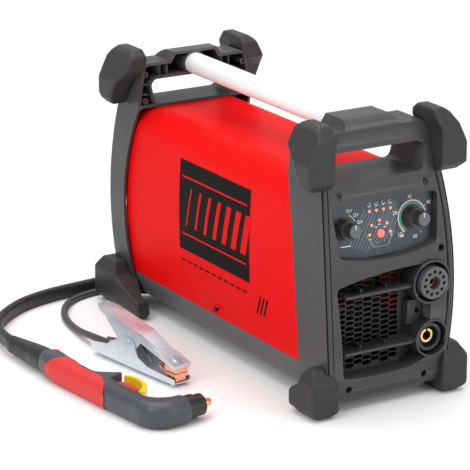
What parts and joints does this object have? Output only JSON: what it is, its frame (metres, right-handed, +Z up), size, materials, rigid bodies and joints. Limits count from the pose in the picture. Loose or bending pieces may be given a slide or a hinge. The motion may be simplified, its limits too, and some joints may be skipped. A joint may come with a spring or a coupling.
{
  "type": "plasma cutter",
  "caption": "Portable inverter plasma cutter: bowed steel housing between two moulded end frames with a carrying tube and corner bumpers, with hand torch and earth clamp.",
  "frame": {"origin": "on the floor, under the middle of the box round the unit, torch and clamp, leads left out", "axes": "+Z up, the front panel faces -Y, +X to the right when looking at the front panel"},
  "size_m": [0.7036, 0.947, 0.4],
  "materials": {
    "plastic": "satin",
    "knob": "satin",
    "panel": "satin",
    "button": "gloss",
    "bumper": "matte",
    "cover": "gloss",
    "pan": "satin",
    "tube": "satin",
    "steel": "satin",
    "aluminium": "satin",
    "board": "satin",
    "socket": "matte",
    "brass": "polished",
    "copper": "polished",
    "torch_body": "satin",
    "torch_red": "matte",
    "torch_yellow": "gloss",
    "lead_rubber": "matte"
  },
  "bodies": {
    "unit": {"air_filter": "plastic", "base_pan": "pan", "cable_gland": "plastic", "cable_lug": "copper", "capacitors": "aluminium", "carry_tube": "tube", "clamp_arm": "steel", "clamp_fasteners": "steel", "clamp_pin": "steel", "clamp_spring": "steel", "control_board": "board", "control_panel": "panel", "cutting_nozzle": "copper", "earth_lead": "lead_rubber", "earth_lead_coil": "lead_rubber", "earth_plug": "lead_rubber", "earth_socket": "socket", "earth_socket_contact": "brass", "electrode": "copper", "fan_frame": "plastic", "front_bumpers": "bumper", "front_feet": "bumper", "front_frame": "plastic", "grille_panel": "plastic", "heat_sink": "aluminium", "housing_screws": "steel", "indicator_leds": "button", "jaw_braid": "copper", "knob_shafts": "steel", "lower_jaw_pad": "copper", "power_board": "board", "rear_bumpers": "bumper", "rear_feet": "bumper", "rear_frame": "plastic", "rear_panel": "pan", "retaining_cap": "lead_rubber", "side_cover": "cover", "switch_body": "plastic", "torch_boot": "lead_rubber", "torch_grip": "torch_red", "torch_handle": "torch_body", "torch_lead": "lead_rubber", "torch_lead_coil": "lead_rubber", "torch_pins": "steel", "torch_plug": "lead_rubber", "torch_socket": "socket", "torch_socket_contact": "brass", "transformer": "steel", "trigger_spring": "steel"},
    "mode_knob": {"mode_knob": "knob"},
    "current_knob": {"current_knob": "knob"},
    "push_button": {"push_button": "button"},
    "switch_handle": {"switch_handle": "plastic"},
    "fan_rotor": {"fan_rotor": "plastic"},
    "regulator_knob": {"regulator_knob": "plastic"},
    "torch_trigger": {"torch_trigger": "torch_red"},
    "safety_catch": {"safety_catch": "torch_yellow"},
    "clamp_lever": {"clamp_lever": "steel", "upper_jaw_pad": "copper", "lever_rivet": "steel"}
  },
  "joints": [
    {"name": "mode_knob_turn", "type": "hinge", "parent": "unit", "child": "mode_knob", "pos_m": [0.05834, -0.2748, 0.254], "axis": [0, 0.9903, -0.1392], "range_deg": [-60, 60]},
    {"name": "current_knob_turn", "type": "hinge", "parent": "unit", "child": "current_knob", "pos_m": [0.16834, -0.2748, 0.254], "axis": [0, 0.9903, -0.1392], "range_deg": [-135, 135]},
    {"name": "push_button_press", "type": "slide", "parent": "unit", "child": "push_button", "axis": [0, 0.9903, -0.1392], "range_m": [0, 0.002], "stiffness_N_per_m": 300, "springref_m": -0.001},
    {"name": "mains_switch_turn", "type": "hinge", "parent": "unit", "child": "switch_handle", "pos_m": [0.15634, 0.2735, 0.262], "axis": [0, 1, 0], "range_deg": [0, 90]},
    {"name": "fan_spin", "type": "hinge", "parent": "unit", "child": "fan_rotor", "pos_m": [0.09634, 0.2335, 0.128], "axis": [0, 1, 0], "continuous": true},
    {"name": "regulator_knob_turn", "type": "hinge", "parent": "unit", "child": "regulator_knob", "pos_m": [0.17234, 0.2775, 0.1315], "axis": [0, 0, 1], "range_deg": [-180, 180]},
    {"name": "trigger_pull", "type": "hinge", "parent": "unit", "child": "torch_trigger", "pos_m": [-0.19719, -0.09669, 0.0195], "axis": [0, 0, -1], "range_deg": [0, 4], "stiffness_Nm_per_rad": 0.4, "springref_deg": -2.86, "deforming": ["trigger_spring"]},
    {"name": "safety_catch_lift", "type": "hinge", "parent": "unit", "child": "safety_catch", "pos_m": [-0.19176, -0.15041, 0.0195], "axis": [0, 0, -1], "range_deg": [0, 20], "stiffness_Nm_per_rad": 0.08, "springref_deg": -5.73},
    {"name": "clamp_squeeze", "type": "hinge", "parent": "unit", "child": "clamp_lever", "pos_m": [-0.10215, 0.0081, 0.04], "axis": [-0.9866, -0.1633, 0], "range_deg": [0, 18], "stiffness_Nm_per_rad": 3, "springref_deg": -17.19, "deforming": ["clamp_spring", "jaw_braid"]}
  ]
}
